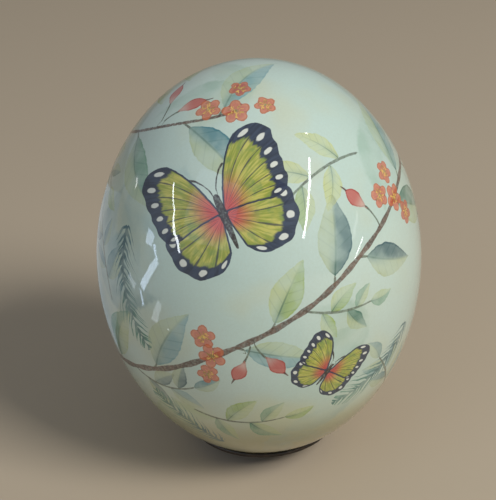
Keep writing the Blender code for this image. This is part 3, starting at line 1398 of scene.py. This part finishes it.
@dataclass(frozen=True)
class Design:
    """The whole painting: what is placed where round the egg, by azimuth and latitude."""

    garlands: tuple[Garland, ...] = (
        Garland(
            ((-170.0, -30.0), (-120.0, -26.0), (-75.0, -26.0), (-40.0, -17.0), (-10.0, -2.0),
             (16.0, 12.0), (42.0, 27.0), (74.0, 38.0), (112.0, 38.0), (150.0, 34.0), (190.0, 33.0),
             (228.0, 38.0), (268.0, 50.0), (306.0, 62.0), (345.0, 70.0)),
            2.6, 12.0, 11,
        ),
        Garland(
            ((198.0, -28.0), (165.0, -36.0), (125.0, -43.0), (95.0, -45.0), (72.0, -42.0),
             (56.0, -38.0)),
            1.9, 13.0, 29,
        ),
        Garland(((-64.0, -46.0), (-95.0, -51.0), (-130.0, -52.0), (-165.0, -50.0)), 1.6, 14.0, 5),
    )
    motifs: tuple[tuple[Flat, Butterfly | Cluster | NeedleSprig | Spray | Fan | BudPair], ...] = (
        ((0.0, 24.0), Butterfly((-12.0, 21.0), 29.0, 22.0)),
        ((22.0, -14.0), Butterfly((0.0, 0.0), 16.0, -34.0)),
        ((128.0, 0.0), Butterfly((0.0, 0.0), 27.0, -16.0)),
        ((232.0, 0.0), Butterfly((0.0, 0.0), 21.0, 30.0)),
        ((-16.0, -5.0), Cluster()), ((62.0, 35.0), Cluster()), ((150.0, 34.0), Cluster()),
        ((232.0, 39.0), Cluster()), ((-78.0, -26.0), Cluster()), ((-150.0, -30.0), Cluster()),
        ((100.0, -45.0), Cluster()), ((345.0, 70.0), Cluster()),
        ((-54.0, 30.0), NeedleSprig(-92.0, 50.0, 44.0)),
        ((60.0, -10.0), NeedleSprig(-128.0, 44.0, -30.0)),
        ((-20.0, -50.0), NeedleSprig(128.0, 34.0, 20.0)),
        ((84.0, 22.0), NeedleSprig(-80.0, 46.0, 24.0)),
        ((176.0, 22.0), NeedleSprig(-100.0, 46.0, 26.0)),
        ((266.0, 34.0), NeedleSprig(-86.0, 46.0, -24.0)),
        ((52.0, 52.0), Spray(168.0, 36.0, 24.0, 5, 19.0, PALES)),
        ((-26.0, -31.0), Spray(-24.0, 36.0, 26.0, 5, 18.0, GREENS)),
        ((-3.0, 2.5), BudPair(-82.0, 12.0, 13.0)),
        ((-70.0, 8.0), Fan(
            60.0, (-44.0, -8.0, 30.0), 40.0, (Pigment.TEAL, Pigment.MIST_TEAL), 1.25, (Coat.SHADE,)
        )),
        ((200.0, 64.0), Spray(30.0, 36.0, -30.0, 5, 18.0, PALES)),
        ((300.0, 2.0), Spray(110.0, 36.0, 30.0, 5, 18.0, BLUES)),
    )
    shades: tuple[Flat, ...] = (
        (-34.0, 52.0), (38.0, 2.0), (-44.0, -34.0), (8.0, -40.0), (70.0, 58.0), (95.0, 12.0),
        (120.0, -24.0), (160.0, 60.0), (185.0, 4.0), (215.0, -44.0), (255.0, 20.0), (290.0, -10.0),
        (300.0, 36.0), (0.0, 78.0),
    )
    shade_pigments: tuple[Pigment, ...] = (Pigment.MIST_TEAL, Pigment.SAGE, Pigment.SPRING)
    seed: int = 7

    def paint(self, canvas: Canvas) -> None:
        """Lays the whole design."""
        dice = random.Random(self.seed)
        for centre, motif in self.motifs:
            motif.paint(Chart(canvas, *centre), dice)
        for number, centre in enumerate(self.shades):
            pigment = self.shade_pigments[number % len(self.shade_pigments)]
            heading = dice.uniform(0.0, 360.0)
            fan = Fan(heading, (-48.0, 0.0, 44.0), 31.0, (pigment,), 0.8, (Coat.SHADE,))
            fan.paint(Chart(canvas, *centre), dice)
        for garland in self.garlands:
            garland.paint(canvas)


class Stain(Enum):
    """The browns of the ring's wood, as sRGB hex."""

    DEEP = "1A1410"
    WARM = "2B2119"
    PORE = "0E0A08"
    RUBBED = "46362A"

    def ink(self) -> Colour:
        """Gives the linear colour."""
        return linear(self.value)


@dataclass
class RingBuilder:
    """Makes the visible ring stand; lengths in millimetres."""

    egg: Egg
    foot_radius: float = 18.2
    inner_radius: float = 13.0
    rim_underside: float = 8.16
    rim_round: float = 0.6
    foot_round: float = 0.5
    hollow: float = 0.25
    seat_gap: float = 0.32
    groove: float = 0.14
    shy: float = 0.02
    around: int = 168
    wall_steps: int = 26
    seat_steps: int = 8
    corner_steps: int = 6
    line_places: tuple[float, ...] = (0.13, 0.20, 0.84)  # shares of the wall's height
    line_width: float = 0.035  # the same
    crease: float = math.radians(50.0)

    def seat(self, radius: float) -> Flat:
        """Gives the point of the seat one gap below the shell.

        Args:
            radius: The shell point's distance from the axis.

        Returns:
            The seat point's radius and height.
        """
        a, c = self.egg.width / 2.0, self.egg.length / 2.0
        drop = math.sqrt(1.0 - (radius / (a * (1.0 - self.egg.bluntness))) ** 2)
        height, slope = self.egg.centre_z - c * drop, radius * c / (a * a * drop)
        steep = math.hypot(1.0, slope)
        return radius + self.seat_gap * slope / steep, height - self.seat_gap / steep

    def corner(self, radius: float, height: float, first: float, last: float) -> list[Flat]:
        """Gives the points of a rounded corner of the rim.

        Args:
            radius: The distance of the corner's centre from the axis.
            height: The height of its centre.
            first: The angle about the centre at which it starts, in degrees.
            last: The angle at which it ends.

        Returns:
            The points' radii and heights.
        """
        points = []
        for step in range(self.corner_steps + 1):
            turn = math.radians(first + (last - first) * step / self.corner_steps)
            away, up = self.rim_round * math.cos(turn), self.rim_round * math.sin(turn)
            points.append((radius + away, height + up))
        return points

    def section(self) -> list[Flat]:
        """Gives the section's corners as radius and height, in order round it."""
        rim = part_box("ring_stand")[1][0] / MM - self.rim_round - self.shy
        seat_in, seat_out = self.seat(self.inner_radius + self.foot_round), self.seat(rim)
        corners = [(self.inner_radius + self.foot_round, 0.0)]
        corners += [(self.foot_radius - self.foot_round, 0.0)]
        corners += [(self.foot_radius - self.foot_round * 0.3, self.foot_round * 0.3)]
        for step in range(self.wall_steps):
            share = step / self.wall_steps
            gaps = [(share - place) / self.line_width for place in self.line_places]
            lines = sum(math.exp(-gap ** 2) for gap in gaps)
            radius = self.foot_radius + share * (rim - self.foot_radius)
            height = self.foot_round + share * (self.rim_underside - self.foot_round)
            height += self.hollow * math.sin(math.pi * share) + self.groove * lines
            corners.append((radius, height))
        corners += self.corner(rim, self.rim_underside + self.rim_round, -90.0, 0.0)
        corners += self.corner(rim, seat_out[1] - self.rim_round, 0.0, 90.0)
        for step in range(1, self.seat_steps):
            corners.append(self.seat(rim + step / self.seat_steps * (seat_in[0] - rim)))
        corners += [seat_in, (self.inner_radius, seat_in[1] - self.foot_round)]
        corners.append((self.inner_radius, self.foot_round))
        return corners

    def build(self) -> bpy.types.Object:
        """Makes the ring: its turned section spun once round.

        Returns:
            The ring's object, at the origin.
        """
        bm = bmesh.new()
        corners = [bm.verts.new((x * MM, 0.0, z * MM)) for x, z in self.section()]
        edges = [bm.edges.new(pair) for pair in zip(corners, corners[1:] + corners[:1])]
        bmesh.ops.spin(
            bm, geom=corners + edges, cent=(0.0, 0.0, 0.0), axis=(0.0, 0.0, 1.0),
            angle=2.0 * math.pi, steps=self.around, use_merge=True,
        )
        bmesh.ops.remove_doubles(bm, verts=bm.verts, dist=0.001 * MM)
        bmesh.ops.recalc_face_normals(bm, faces=bm.faces)
        ring = make_object("turned_ring", bm)
        ring.data.shade_smooth()
        ring.data.set_sharp_from_angle(angle=self.crease)
        return ring

    def finish(self) -> bpy.types.Material:
        """Makes the ring's material: a close-grained wood, turned, stained dark and waxed.

        The stain soaks deepest into the open pores, so they read as fine dark dashes along the
        grain. The wax gives a satin gloss, and handling has thinned the stain on the rim.

        Returns:
            The material.
        """
        material, shader, place = start_finish("dark stained turned wood")
        t = material.node_tree
        along = add(t, Kind.SCALE, place, (0.16, 1.0, 1.0))
        bands = add(t, Kind.EASE, add(t, Kind.NOISE, along, 0.55, 3.0, Distortion=0.4), 0.36, 0.66)
        pores = add(t, Kind.EASE, add(t, Kind.NOISE, along, 3.2), 0.56, 0.66)
        colour = add(t, Kind.MIX, bands, Stain.DEEP.ink(), Stain.WARM.ink())
        colour = add(t, Kind.MIX, pores, colour, Stain.PORE.ink())
        radius = add(t, Kind.LENGTH, add(t, Kind.SCALE, place, (1.0, 1.0, 0.0)))
        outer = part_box("ring_stand")[1][0] / MM
        crown = add(t, Kind.EASE, radius, outer - 0.35, outer - 0.02)
        rubbed = add(t, Kind.RAMP, add(t, Kind.NOISE, place, 0.35, 3.0), 0.45, 0.7, 0.0, 0.5)
        colour = add(t, Kind.MIX, add(t, Kind.TIMES, crown, rubbed), colour, Stain.RUBBED.ink())
        t.links.new(colour, shader.inputs["Base Color"])
        t.links.new(add(t, Kind.RAMP, rubbed, 0.0, 0.5, 0.46, 0.34), shader.inputs["Roughness"])
        relief = add(t, Kind.BUMP, Strength=0.5, Distance=0.06 * MM, Height=pores, invert=True)
        t.links.new(relief, shader.inputs["Normal"])
        return material


@dataclass(frozen=True)
class Glint:
    """A narrow light that shows as a streak in the lacquer, between two points of the picture."""

    first: Flat
    last: Flat
    breadth: float
    radiance: float
    colour: str = "FFFFFF"


@dataclass(frozen=True)
class Lamp:
    """A large square light that faces the egg's middle."""

    name: str
    place: tuple[float, float, float]
    width: float
    radiance: float
    colour: str
    mirrored: bool  # whether it shows in the lacquer


@dataclass
class Studio:
    """The floor, the lights and the camera; lengths in metres."""

    egg: Egg
    floor_radius: float = 8.0
    floor_colour: str = "BBAE9B"
    surround: float = 0.29  # strength of the light from all round
    surround_colour: str = "EDEFF0"
    lamps: tuple[Lamp, ...] = (
        Lamp("key", (1.22, -0.92, 1.42), 0.7, 20.5, "FFFAF2", False),
        Lamp("fill", (-1.2, -1.5, 1.2), 1.4, 0.85, "C8DEFF", True),
    )
    picture: tuple[int, int] = (496, 500)
    elevation: float = math.radians(28.0)
    distance: float = 0.500
    roll: float = -0.0225
    half_width_pixels: float = 161.2
    egg_pixel: Flat = (259.12, 260.93)
    sensor: float = 36.0
    glint_distance: float = 1.1
    glint_height: float = 0.025  # the least height of a glint's light above the floor
    glints: tuple[Glint, ...] = (
        Glint((308.5, 156.0), (303.0, 240.0), 0.027, 26.0, "F0F8FF"),
        Glint((173.7, 182.6), (180.0, 253.6), 0.022, 20.0, "F0F8FF"),
        Glint((362.0, 236.0), (355.0, 262.0), 0.018, 14.0),
        Glint((358.0, 212.0), (352.0, 240.0), 0.027, 1.6),
        Glint((306.5, 131.0), (306.5, 134.0), 0.036, 14.0),
        Glint((137.0, 178.0), (136.5, 188.0), 0.025, 4.0),
        Glint((147.0, 236.0), (153.0, 243.0), 0.090, 6.0, "C6DAF6"),
        Glint((154.0, 246.0), (158.0, 262.0), 0.028, 9.0, "BFD4F2"),
        Glint((157.5, 262.0), (142.0, 289.0), 0.075, 7.0, "C9DCF6"),
        Glint((140.0, 291.0), (142.6, 306.0), 0.030, 6.0, "BFD4F2"),
        Glint((160.0, 304.0), (154.0, 321.0), 0.075, 2.6, "DCE6F4"),
        Glint((129.0, 275.0), (135.0, 289.0), 0.060, 2.2, "DCE6F4"),
        Glint((168.0, 330.0), (168.0, 332.0), 0.020, 8.0, "DCE6F4"),
        Glint((112.0, 190.0), (114.0, 310.0), 0.900, 0.34, "B4D0EC"),
    )

    def middle(self) -> Vector:
        """Gives the egg's centre."""
        return Vector((0.0, 0.0, self.egg.centre_z * MM))

    def make_camera(self) -> bpy.types.Object:
        """Makes the camera at the photograph's viewing angle.

        Returns:
            The camera.
        """
        width, height = self.picture
        data = bpy.data.cameras.new("camera")
        data.sensor_width = self.sensor
        magnified = self.half_width_pixels * self.distance / (self.egg.width / 2.0 * MM)
        data.lens = magnified / height * self.sensor
        data.shift_x = (width / 2.0 - self.egg_pixel[0]) / height
        data.shift_y = (self.egg_pixel[1] - height / 2.0) / height
        data.clip_start = 0.01
        camera = bpy.data.objects.new("camera", data)
        offset = Vector((0.0, -math.cos(self.elevation), math.sin(self.elevation))) * self.distance
        turn = (-offset).to_track_quat("-Z", "Y").to_matrix().to_4x4()
        spun = turn @ Matrix.Rotation(self.roll, 4, "Z")
        camera.matrix_world = Matrix.Translation(self.middle() + offset) @ spun
        bpy.context.scene.collection.objects.link(camera)
        bpy.context.scene.camera = camera
        return camera

    def mirror_ray(self, camera: bpy.types.Object, pixel: Flat) -> tuple[Vector, Vector]:
        """Follows the camera's ray through a picture point to the shell, and off it.

        Args:
            camera: The camera.
            pixel: The picture point.

        Returns:
            The point of the shell, and the reflected direction.
        """
        width, height = self.picture
        data = camera.data
        x = ((pixel[0] - width / 2.0) / height + data.shift_x) * self.sensor / data.lens
        y = (-(pixel[1] - height / 2.0) / height + data.shift_y) * self.sensor / data.lens
        way = (camera.matrix_world.to_3x3() @ Vector((x, y, -1.0))).normalized()
        start = camera.matrix_world.translation - self.middle()
        a, c = self.egg.width / 2.0 * MM, self.egg.length / 2.0 * MM
        squeeze = Vector((1.0 / a, 1.0 / a, 1.0 / c))
        s, w = start * squeeze, way * squeeze
        half, rest = s.dot(w) / w.dot(w), (s.dot(s) - 1.0) / w.dot(w)
        spot = start + way * (-half - math.sqrt(max(half * half - rest, 0.0)))
        out = (spot * squeeze * squeeze).normalized()
        return spot + self.middle(), way - 2.0 * way.dot(out) * out

    def add_light(
        self, name: str, place: Vector, aim: Vector, size: Flat, radiance: float, colour: str,
        along: Vector,
    ) -> bpy.types.Object:
        """Makes one flat light.

        Args:
            name: The light's name.
            place: Its middle.
            aim: What it faces.
            size: Its breadth and length.
            radiance: How bright its face is.
            colour: The light's colour, as sRGB hex.
            along: The direction of its length.

        Returns:
            The light.
        """
        data = bpy.data.lights.new(name, "AREA")
        data.shape = "RECTANGLE"
        data.size, data.size_y = size
        data.energy = radiance * math.pi * size[0] * size[1]
        data.color = linear(colour)[:3]
        light = bpy.data.objects.new(name, data)
        back = (place - aim).normalized()
        up = (along - back * along.dot(back)).normalized()
        side = up.cross(back)
        turn = Matrix((side, up, back)).transposed().to_4x4()
        light.matrix_world = Matrix.Translation(place) @ turn
        light.visible_camera = False
        bpy.context.scene.collection.objects.link(light)
        return light

    def make_lights(self, camera: bpy.types.Object) -> None:
        """Makes the lamps and the glints.

        Args:
            camera: The camera, from whose view the glints are placed.
        """
        middle, up = self.middle(), Vector((0.0, 0.0, 1.0))
        for lamp in self.lamps:
            place, size = Vector(lamp.place), (lamp.width, lamp.width)
            light = self.add_light(lamp.name, place, middle, size, lamp.radiance, lamp.colour, up)
            light.visible_glossy = lamp.mirrored
        for number, glint in enumerate(self.glints):
            rays = [self.mirror_ray(camera, pixel) for pixel in (glint.first, glint.last)]
            reach = self.glint_distance
            for spot, way in rays:
                if way.z < 0.0:
                    reach = min(reach, (spot.z - self.glint_height) / -way.z)
            spots = [spot + way * reach for spot, way in rays]
            run, breadth = spots[1] - spots[0], glint.breadth * reach
            size = (breadth, max(run.length, breadth))
            place = (spots[0] + spots[1]) / 2.0
            name, aim = f"glint_{number}", rays[0][0]
            light = self.add_light(name, place, aim, size, glint.radiance, glint.colour, run)
            light.visible_diffuse = False

    def make_floor(self) -> bpy.types.Object:
        """Makes the plain pale floor.

        Returns:
            The floor.
        """
        bm = bmesh.new()
        bmesh.ops.create_circle(bm, cap_ends=True, segments=96, radius=self.floor_radius)
        floor = make_object("floor", bm)
        material = bpy.data.materials.new("pale matt floor")
        material.use_nodes = True
        shader = material.node_tree.nodes["Principled BSDF"]
        shader.inputs["Base Color"].default_value = linear(self.floor_colour)
        shader.inputs["Roughness"].default_value = 0.75
        shader.inputs["Specular IOR Level"].default_value = 0.0
        floor.data.materials.append(material)
        return floor

    def make_world(self) -> None:
        """Makes the plain surrounding light."""
        scene = bpy.context.scene
        world = bpy.data.worlds.new("soft surround")
        world.use_nodes = True
        background = world.node_tree.nodes["Background"]
        background.inputs["Color"].default_value = linear(self.surround_colour)
        background.inputs["Strength"].default_value = self.surround
        scene.world = world
        scene.view_settings.view_transform = "Standard"

    def build(self) -> None:
        """Makes everything round the object."""
        self.make_world()
        self.make_floor()
        self.make_lights(self.make_camera())


def main() -> None:
    """Builds the pieces in order, dresses them and sets the studio round them."""
    logging.basicConfig(level=logging.INFO, format="%(message)s")
    shell_builder = ShellBuilder()
    shell = shell_builder.build()
    Design().paint(shell_builder.canvas)
    shell_builder.keep_paint(shell.data)
    shell.data.materials.append(shell_builder.finish())
    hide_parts("egg")
    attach(shell, "root")
    faces, dropped = len(shell.data.polygons), shell_builder.canvas.dropped
    LOG.info("painted_shell: %d faces, %d marks left out", faces, dropped)
    ring_builder = RingBuilder(shell_builder.egg)
    ring = ring_builder.build()
    ring.data.materials.append(ring_builder.finish())
    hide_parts("ring_stand")
    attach(ring, "root")
    LOG.info("turned_ring: %d faces", len(ring.data.polygons))
    Studio(shell_builder.egg).build()


if __name__ == "__main__":
    main()
